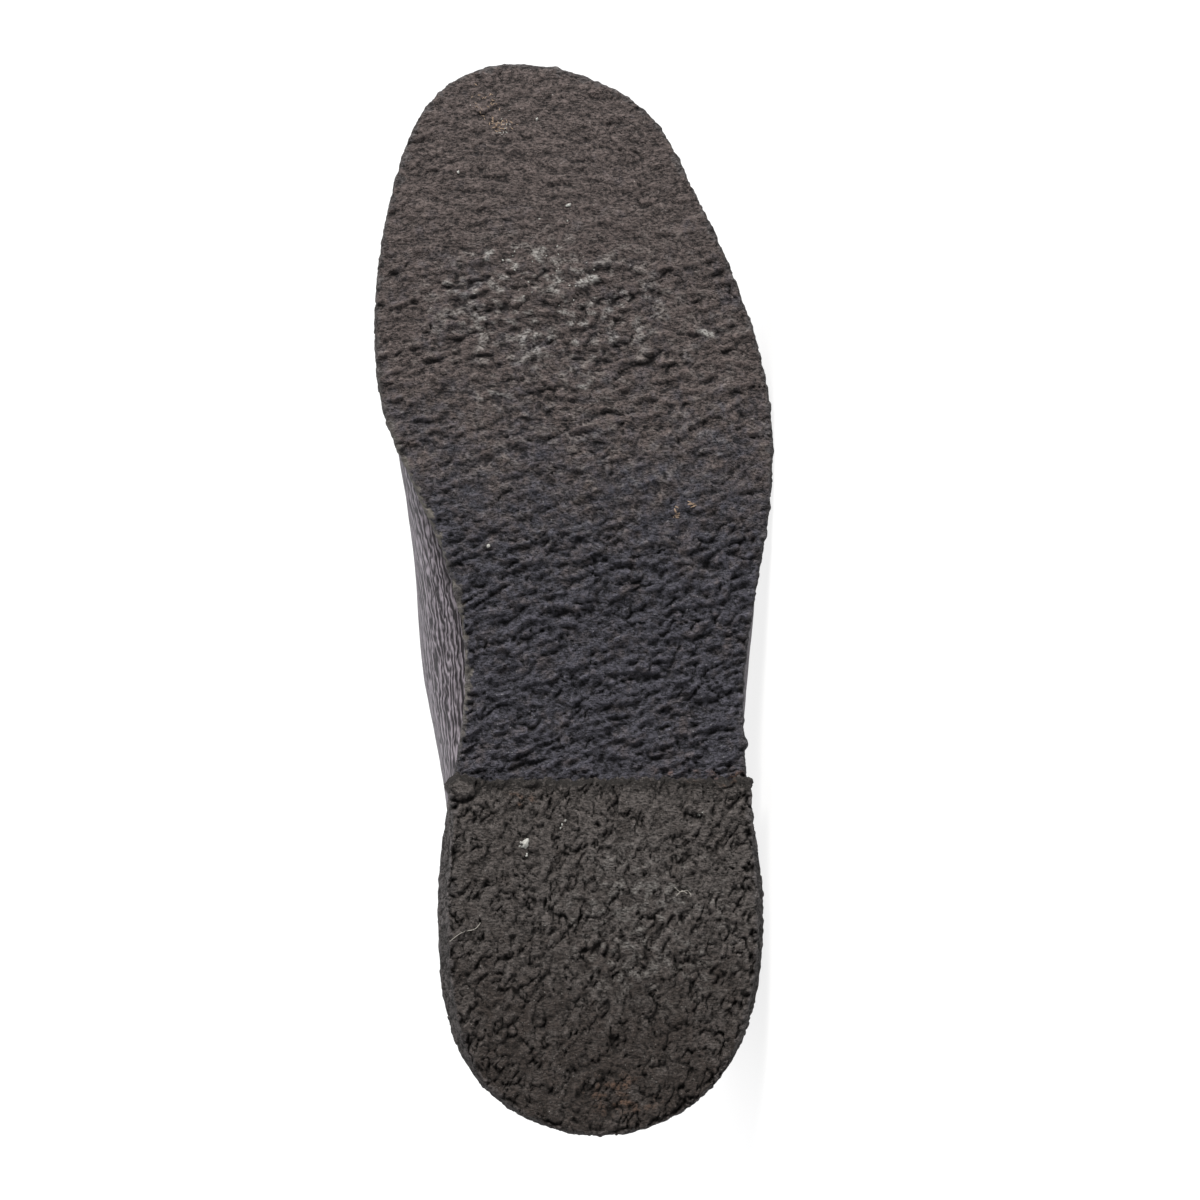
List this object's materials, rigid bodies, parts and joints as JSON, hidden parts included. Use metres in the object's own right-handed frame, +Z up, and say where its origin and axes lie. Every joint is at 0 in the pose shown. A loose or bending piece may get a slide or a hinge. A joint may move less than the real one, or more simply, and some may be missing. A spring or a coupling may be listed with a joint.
{
  "type": "slip-on shoe",
  "caption": "Left slip-on shoe of pebbled leather with a crumbly crepe rubber outsole and a low crepe heel, lying on its outer side with the sole facing the viewer.",
  "frame": {"origin": "on the floor, under the middle of the shoe's box as it lies on its outer side", "axes": "+X from the heel to the toe, -Y the way the sole faces, +Z up, towards the inner side of the foot"},
  "size_m": [0.2818, 0.0812, 0.1041],
  "materials": {
    "crepe_outsole": "matte wrinkled crepe, worn and dusty",
    "crepe_heel": "matte crumbly crepe, worn and dusty",
    "insole": "smooth, matt, tan",
    "leather_upper": "pebbled, soft sheen"
  },
  "bodies": {
    "root": {"outsole": "crepe_outsole", "heel": "crepe_heel", "insole": "insole", "upper": "leather_upper"}
  },
  "joints": []
}
